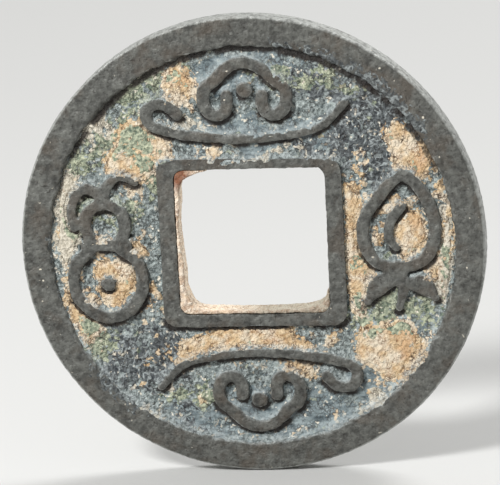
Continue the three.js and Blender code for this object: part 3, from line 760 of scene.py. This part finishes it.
class COIN_OT_stage(bpy.types.Operator):
    """Sets the pale floor, the soft light and the camera"""
    bl_idname = "coin.set_stage"
    bl_label = "Set the stage"

    def execute(self, context):
        stage = context.scene.coin_stage
        self.make_floor(context.scene.coin_colours.floor)
        self.make_light(stage)
        self.make_camera(context.scene, stage)
        context.scene.view_settings.view_transform = "Standard"
        return {"FINISHED"}

    def make_floor(self, colour):
        deselect()
        bpy.ops.mesh.primitive_circle_add(vertices=96, radius=1.1, fill_type="NGON",
                                          location=(0, 0, CAD_BOX[0].z))
        floor = named("floor")
        material, sheet, shader = new_material("pale_floor")
        shader.inputs["Roughness"].default_value = 0.9
        sheet.feed(shader.inputs["Base Color"], colour)
        seen = sheet.node("ShaderNodeEmission", {"Color": colour})
        far = sheet.node("ShaderNodeVectorMath", {0: sheet.place()}, operation="LENGTH").outputs["Value"]
        both = sheet.node("ShaderNodeMixShader", {0: sheet.remap(far, 0.05, 0.3)})
        sheet.tree.links.new(shader.outputs[0], both.inputs[1])
        sheet.tree.links.new(seen.outputs[0], both.inputs[2])
        sheet.tree.links.new(both.outputs[0], sheet.tree.nodes["Material Output"].inputs["Surface"])
        floor.data.materials.append(material)

    def make_light(self, stage):
        world = bpy.data.worlds.new("studio")
        bpy.context.scene.world = world
        world.use_nodes = True
        sheet = Sheet(world.node_tree)
        rays = sheet.node("ShaderNodeLightPath").outputs
        seen = sheet.maths("MAXIMUM", rays["Is Camera Ray"], rays["Is Glossy Ray"])
        seen = sheet.maths("MAXIMUM", seen, rays["Is Transmission Ray"])
        colour = bpy.context.scene.coin_colours.floor
        fill = sheet.node("ShaderNodeBackground", {"Color": (1, 1, 1, 1), "Strength": stage.fill})
        shown = sheet.node("ShaderNodeBackground", {"Color": colour, "Strength": 1.0})
        both = sheet.node("ShaderNodeMixShader", {0: seen})
        world.node_tree.links.new(fill.outputs[0], both.inputs[1])
        world.node_tree.links.new(shown.outputs[0], both.inputs[2])
        world.node_tree.links.new(both.outputs[0], world.node_tree.nodes["World Output"].inputs["Surface"])
        for name, at, size, power in (("key_light", (-0.11, -0.15, 0.16), 0.05, stage.key_power),
                                      ("top_light", (0.2, 0.28, 0.38), 0.2, stage.top_power)):
            deselect()
            bpy.ops.object.light_add(type="AREA", location=at)
            lamp = bpy.context.object
            lamp.name = name
            lamp.data.size = size
            lamp.data.energy = power
            lamp.rotation_euler = lamp.location.to_track_quat("Z", "Y").to_euler()

    def make_camera(self, scene, stage):
        width, height = 500, 485
        back = Vector((math.sin(stage.azimuth) * math.cos(stage.elevation),
                       -math.cos(stage.azimuth) * math.cos(stage.elevation), math.sin(stage.elevation)))
        deselect()
        bpy.ops.object.camera_add(location=back * stage.distance)
        camera = bpy.context.object
        camera.name = "camera"
        turn = back.to_track_quat("Z", "Y").to_matrix() @ Matrix.Rotation(-stage.roll, 3, "Z")
        camera.rotation_euler = turn.to_euler()
        data = camera.data
        data.lens = data.sensor_width * stage.distance * stage.coin_pixels / (2 * COIN_RADIUS * width)
        data.shift_x = (width / 2 - stage.middle_x) / width
        data.shift_y = (stage.middle_y - height / 2) / width
        data.clip_start = 0.01
        data.clip_end = 3.0
        scene.camera = camera


class COIN_OT_rim(bpy.types.Operator):
    """Casts the rim in one with the coin's edge"""
    bl_idname = "coin.cast_rim"
    bl_label = "Cast the rim"

    def execute(self, context):
        sizes = context.scene.coin_sizes
        radius, face, web = (in_mm(v) for v in (COIN_RADIUS, FACE_DEPTH, WEB_DEPTH))
        outer, front = radius - 0.5 * INSET, face - 0.5 * INSET
        foot = radius - in_mm(sizes.rim_width + sizes.rim_draft)
        deselect()
        bpy.ops.mesh.primitive_plane_add(size=1, location=((outer + foot) / 2, 0, 0))
        rim = named("rim")
        edit(rim)
        bpy.ops.transform.resize(value=(outer - foot, 2 * front, 1))
        for depth in (-web, web):
            bpy.ops.mesh.select_all(action="SELECT")
            bpy.ops.mesh.bisect(plane_co=(0, depth, 0), plane_no=(0, 1, 0))
        end_edit()
        bpy.ops.object.transform_apply(location=True, rotation=False, scale=False)
        edit(rim)
        self.round_profile(foot, outer, front, in_mm(sizes.rim_draft), in_mm(sizes.edge_round))
        self.spin_profile(sizes.rim_steps)
        end_edit()
        points = points_of(rim)
        inwards = np.hypot(points[:, 0], points[:, 2]) - foot
        store(rim, "inner_side", np.clip(1 - inwards / 0.45, 0, 1))
        roughen(rim, relief("outline_waves", "CLOUDS", 3.2), 0.05, mid_level=1)
        roughen(rim, relief("nibbled_edge", "CLOUDS", 0.6, noise_depth=2), 0.28, "inner_side", mid_level=0.6)
        roughen(rim, relief("metal_pits", "CLOUDS", 0.3, noise_depth=3), 0.05, mid_level=0.8)
        # Marks the outer edge to be painted pale: partly wear, partly painted highlight
        store(rim, "rubbed", np.clip((np.hypot(points[:, 0], points[:, 2]) - outer + 0.16) / 0.1, 0, 1))
        store_crust(rim, sizes)
        roughen(rim, relief("creep_lumps", "VORONOI", 0.3), 0.14, "eaten", mid_level=1)
        finish_piece(rim, bronze_material(context.scene.coin_colours), "bronze", "obverse_rim",
                     "reverse_rim")
        return {"FINISHED"}

    def round_profile(self, foot, outer, front, draft, edge_round):
        """Slants the inner side, rounds the corners and leaves an outline with evenly spaced points"""
        near, spacing = 0.01, 0.08
        select("verts", lambda v: v.co.x < foot + near and abs(v.co.y) > front - near)
        bpy.ops.transform.translate(value=(draft, 0, 0))
        select("verts", lambda v: v.co.x > outer - near and abs(v.co.y) > front - near)
        bpy.ops.mesh.bevel(affect="VERTICES", offset=edge_round, segments=6)
        select("verts", lambda v: abs(v.co.x - foot - draft) < near and abs(v.co.y) > front - near)
        bpy.ops.mesh.bevel(affect="VERTICES", offset=edge_round * 0.9, segments=6)
        select("edges", lambda e: not e.is_boundary)
        bpy.ops.mesh.dissolve_edges(use_verts=False)
        bpy.ops.mesh.select_all(action="SELECT")
        bpy.ops.mesh.delete(type="ONLY_FACE")
        mesh = bmesh.from_edit_mesh(bpy.context.object.data)
        lengths = sorted({round(e.calc_length(), 3) for e in mesh.edges if e.calc_length() > 2 * spacing})
        for length in lengths:
            select("edges", lambda e: abs(e.calc_length() - length) < 0.002)
            bpy.ops.mesh.subdivide(number_cuts=round(length / spacing))

    def spin_profile(self, steps):
        bpy.ops.mesh.select_all(action="SELECT")
        bpy.ops.mesh.spin(steps=steps, angle=2 * math.pi, center=(0, 0, 0), axis=(0, 1, 0))
        bpy.ops.mesh.select_all(action="SELECT")
        bpy.ops.mesh.remove_doubles(threshold=0.002)
        bpy.ops.mesh.normals_make_consistent(inside=False)


class COIN_OT_field(bpy.types.Operator):
    """Casts the two faces of the coin's plate and grows the mineral crust on them"""
    bl_idname = "coin.cast_field"
    bl_label = "Cast the field"

    def execute(self, context):
        sizes = context.scene.coin_sizes
        self.cast("obverse_field", -1, in_mm(sizes.obverse_grid), OBVERSE_DEPOSITS, sizes)
        self.cast("reverse_field", 1, in_mm(sizes.reverse_grid), REVERSE_DEPOSITS, sizes)
        return {"FINISHED"}

    def cast(self, name, side, spacing, deposits, sizes):
        """One half of the plate's thickness, closed at the back"""
        web = in_mm(WEB_DEPTH)
        reach = in_mm(COIN_RADIUS - sizes.rim_width) + 0.5
        hole_x = in_mm(COLLAR_CORNER.x) - 0.5
        hole_top, hole_bottom = in_mm(COLLAR_CORNER.z) - 0.35, in_mm(COLLAR_FOOT.z) + 0.4
        cells = round(2 * reach / spacing)
        deselect()
        bpy.ops.mesh.primitive_grid_add(x_subdivisions=cells, y_subdivisions=cells, size=2 * reach,
                                        location=(0, side * web, 0), rotation=(-side * math.pi / 2, 0, 0))
        field = named(name)
        bpy.ops.object.transform_apply(location=True, rotation=True, scale=False)
        edit(field)
        select("verts", lambda v: math.hypot(v.co.x, v.co.z) > reach
               or (abs(v.co.x) < hole_x and hole_bottom < v.co.z < hole_top))
        bpy.ops.mesh.delete(type="VERT")
        end_edit()
        apply(field, "SOLIDIFY", thickness=web, offset=-1, use_rim=True, use_rim_only=True)
        edit(field, "EDGE")
        select("edges", lambda e: e.is_boundary)
        bpy.ops.mesh.fill(use_beauty=False)
        bpy.ops.mesh.select_all(action="SELECT")
        bpy.ops.mesh.normals_make_consistent(inside=False)
        end_edit()
        self.store_deposits(field, side, deposits)
        self.grow(field)
        finish_piece(field, crust_material(bpy.context.scene.coin_colours), "field_patina", "web")

    def store_deposits(self, field, side, deposits):
        points = points_of(field)
        face = np.abs(points[:, 1] - side * in_mm(WEB_DEPTH)) < 0.01
        heap = np.zeros(len(points))
        for kind in DEPOSIT_KINDS:
            share = patchy_share(points, kind, deposits)
            if side < 0 and kind in ("ochre", "cream"):
                crusts = OCHRE_CRUSTS if kind == "ochre" else PALE_CRUSTS
                share = np.maximum(share, nearness(points, crusts, 0.35) * 0.9)
            store(field, kind, share * face)
            heap += HEAP_HEIGHTS[kind] * share
        near, above = beside_walls(points, RAISED, 0.48)
        broken = np.clip(0.9 + 0.6 * patchy(points, 0.7, 40), 0, 1)
        # Painted shadow: the field is marked dark where a raised wall stands above it
        store(field, "crevice", np.clip(near * 1.5 - 0.3, 0, 1) * np.clip(1.4 * above, 0, 1) * broken * face)
        # Painted light: the bank that rises towards a raised part below it is marked to be painted paler; it also
        # raises the field
        bank = near ** 2 * np.clip(-1.3 * above, 0, 1)
        store(field, "bank", bank * face)
        store(field, "heap", np.minimum((heap + BANK_HEIGHT * bank) / TALLEST_HEAP, 1) * face)
        calm = 0.5 * patchy_share(points, "streaked", deposits)
        store(field, "open_field", (1 - nearness(points, RAISED, 0.4) ** 2) * (1 - calm) * face)

    def grow(self, field):
        roughen(field, None, TALLEST_HEAP, "heap", mid_level=0)
        roughen(field, relief("crust_swell", "CLOUDS", 1.6), 0.1, "open_field", mid_level=0.45)
        roughen(field, relief("crust_lumps", "VORONOI", 0.3), -0.12, "open_field", mid_level=0.4)
        roughen(field, relief("crust_grain", "CLOUDS", 0.14, noise_depth=2), 0.12, "open_field")


class COIN_OT_collar(bpy.types.Operator):
    """Casts the collar round the hole, in one from face to face"""
    bl_idname = "coin.cast_collar"
    bl_label = "Cast the collar"

    def execute(self, context):
        sizes = context.scene.coin_sizes
        width, bottom, top = (in_mm(v) for v in (COLLAR_CORNER.x, COLLAR_FOOT.z, COLLAR_CORNER.z))
        front = in_mm(FACE_DEPTH) - INSET
        deselect()
        bpy.ops.mesh.primitive_cube_add(size=2, location=(0, 0, (top + bottom) / 2),
                                        scale=(width, front, (top - bottom) / 2))
        collar = named("collar")
        bpy.ops.object.transform_apply(location=True, rotation=False, scale=True)
        edit(collar, "FACE")
        side_wall = sizes.collar_side_wall
        self.open_hole(in_mm(side_wall), {-1: in_mm(sizes.collar_bottom_wall - side_wall),
                                          1: in_mm(side_wall - sizes.collar_top_wall)})
        self.round_corners(width)
        for side in (-1, 1):
            select("verts", lambda v: v.co.x * side > width - 1 and v.co.z > top - 0.85)
            bpy.ops.transform.translate(value=(0, 0, -0.5 * side * in_mm(sizes.collar_slant)))
        bpy.ops.mesh.select_all(action="SELECT")
        bpy.ops.mesh.normals_make_consistent(inside=False)
        end_edit()
        apply(collar, "REMESH", mode="VOXEL", voxel_size=in_mm(sizes.metal_voxel))
        apply(collar, "SMOOTH", factor=0.5, iterations=12)
        roughen(collar, relief("outline_waves", "CLOUDS", 3.2), 0.05, mid_level=1)
        roughen(collar, relief("mark_waves", "CLOUDS", 0.9, noise_depth=2), 0.12, mid_level=0.6)
        roughen(collar, relief("metal_pits", "CLOUDS", 0.3, noise_depth=3), 0.06, mid_level=0.8)
        store_crust(collar, sizes)
        finish_piece(collar, bronze_material(context.scene.coin_colours), "bronze", "obverse_collar",
                     "reverse_collar")
        return {"FINISHED"}

    def open_hole(self, side_wall, shifts):
        """Cuts the hole, with its lower and upper ends shifted to give the end walls their width"""
        select("faces", lambda f: abs(f.normal.y) > 0.9)
        bpy.ops.mesh.inset(thickness=side_wall, depth=0)
        for side, shift in shifts.items():
            select("verts", lambda v: abs(v.co.x) < in_mm(COLLAR_CORNER.x) - 0.5 * side_wall
                   and v.co.z * side > 0)
            bpy.ops.transform.translate(value=(0, 0, shift))
        bpy.ops.mesh.select_mode(type="FACE")
        select("faces", lambda f: abs(f.normal.y) > 0.9 and middle(f).length < 1.2)
        bpy.ops.mesh.delete(type="ONLY_FACE")
        bpy.ops.mesh.select_mode(type="EDGE")
        select("edges", lambda e: e.is_boundary)
        bpy.ops.mesh.bridge_edge_loops()

    def round_corners(self, width):
        def upright(edge):
            across = edge.verts[0].co - edge.verts[1].co
            return abs(across.y) > 1

        bpy.ops.mesh.select_mode(type="EDGE")
        select("edges", lambda e: upright(e) and abs(middle(e).x) > width - 0.1)
        bpy.ops.mesh.bevel(affect="EDGES", offset=0.8, segments=8)
        select("edges", lambda e: upright(e) and abs(middle(e).x) < width - 0.9)
        bpy.ops.mesh.bevel(affect="EDGES", offset=0.5, segments=6)


class COIN_OT_marks(bpy.types.Operator):
    """Wears the raised clouds, gourd and peach round"""
    bl_idname = "coin.cast_marks"
    bl_label = "Cast the raised marks"

    def execute(self, context):
        sizes = context.scene.coin_sizes
        material = bronze_material(context.scene.coin_colours)
        for node in MARKS:
            mark = copy_of_node(node, f"worn_{node}")
            edit(mark)
            bpy.ops.mesh.select_all(action="SELECT")
            bpy.ops.transform.translate(value=(0, 2.2 * INSET, 0))
            end_edit()
            apply(mark, "REMESH", mode="VOXEL", voxel_size=in_mm(sizes.metal_voxel))
            apply(mark, "SMOOTH", factor=0.5, iterations=26)
            roughen(mark, None, 0.06, mid_level=0.5)
            roughen(mark, relief("mark_waves", "CLOUDS", 0.9, noise_depth=2), 0.14, mid_level=0.6)
            roughen(mark, relief("metal_pits", "CLOUDS", 0.3, noise_depth=3), 0.06, mid_level=0.8)
            store_crust(mark, sizes)
            finish_piece(mark, material, "bronze", node)
        return {"FINISHED"}


class COIN_OT_earth(bpy.types.Operator):
    """Cakes dried earth on the obverse"""
    bl_idname = "coin.cake_earth"
    bl_label = "Cake the earth"

    def execute(self, context):
        colours = context.scene.coin_colours
        ochre = earth_material("ochre_earth", colours, colours.ochre_dark, colours.ochre_light)
        pale = earth_material("chalky_earth", colours, colours.cream_dark, colours.cream_light)
        for node in OCHRE_CRUSTS + PALE_CRUSTS:
            is_pale = node in PALE_CRUSTS
            crust = crumbled(node, in_mm(context.scene.coin_sizes.earth_voxel), 0.11, 16)
            for kind in ("verdigris", "cream"):
                share = 1.4 * patchy_share(points_of(crust), kind, OBVERSE_DEPOSITS)
                store(crust, kind, np.clip(share, 0, 1))
            finish_piece(crust, pale if is_pale else ochre, "pale_earth" if is_pale else "earth", node)
        return {"FINISHED"}


def crumbled(node, voxel, depth, smoothing):
    """A copy of a node of earth with a crumbly surface, this deep in millimetres"""
    crust = copy_of_node(node, f"caked_{node}")
    apply(crust, "REMESH", mode="VOXEL", voxel_size=voxel)
    apply(crust, "SMOOTH", factor=0.5, iterations=smoothing)
    roughen(crust, relief("earth_lumps", "CLOUDS", 0.5), 1.5 * depth, mid_level=0.6)
    roughen(crust, relief("earth_grain", "CLOUDS", 0.16, noise_depth=2), depth, mid_level=0.55)
    return crust


class COIN_OT_hole_earth(bpy.types.Operator):
    """Cakes pale earth on the walls of the hole"""
    bl_idname = "coin.cake_hole"
    bl_label = "Cake the hole"

    def execute(self, context):
        colours = context.scene.coin_colours
        crust = crumbled(HOLE_EARTH, in_mm(context.scene.coin_sizes.hole_voxel), 0.05, 5)
        roughen(crust, None, 0.08, mid_level=0.5)
        finish_piece(crust, hole_earth_material(colours), "pale_earth", HOLE_EARTH)
        return {"FINISHED"}


MAKERS = (COIN_OT_stage, COIN_OT_rim, COIN_OT_field, COIN_OT_collar, COIN_OT_marks, COIN_OT_earth,
          COIN_OT_hole_earth)


class VIEW3D_PT_coin(bpy.types.Panel):
    """Lists the coin's pieces, sizes and colours"""
    bl_label = "Charm coin"
    bl_space_type = "VIEW_3D"
    bl_region_type = "UI"
    bl_category = "Coin"

    def draw(self, context):
        for maker in MAKERS:
            self.layout.operator(maker.bl_idname)
        for group in (context.scene.coin_sizes, context.scene.coin_colours, context.scene.coin_stage):
            column = self.layout.column()
            for name in group.__annotations__:
                column.prop(group, name)


CLASSES = (CoinSizes, CoinColours, StageSettings, *MAKERS, VIEW3D_PT_coin)


def register():
    for made in CLASSES:
        bpy.utils.register_class(made)
    bpy.types.Scene.coin_sizes = PointerProperty(type=CoinSizes)
    bpy.types.Scene.coin_colours = PointerProperty(type=CoinColours)
    bpy.types.Scene.coin_stage = PointerProperty(type=StageSettings)


def unregister():
    del bpy.types.Scene.coin_stage
    del bpy.types.Scene.coin_colours
    del bpy.types.Scene.coin_sizes
    for made in reversed(CLASSES):
        bpy.utils.unregister_class(made)


def main():
    register()
    bpy.ops.coin.set_stage()
    bpy.ops.coin.cast_rim()
    bpy.ops.coin.cast_field()
    bpy.ops.coin.cast_collar()
    bpy.ops.coin.cast_marks()
    bpy.ops.coin.cake_earth()
    bpy.ops.coin.cake_hole()


if __name__ == "__main__":
    main()
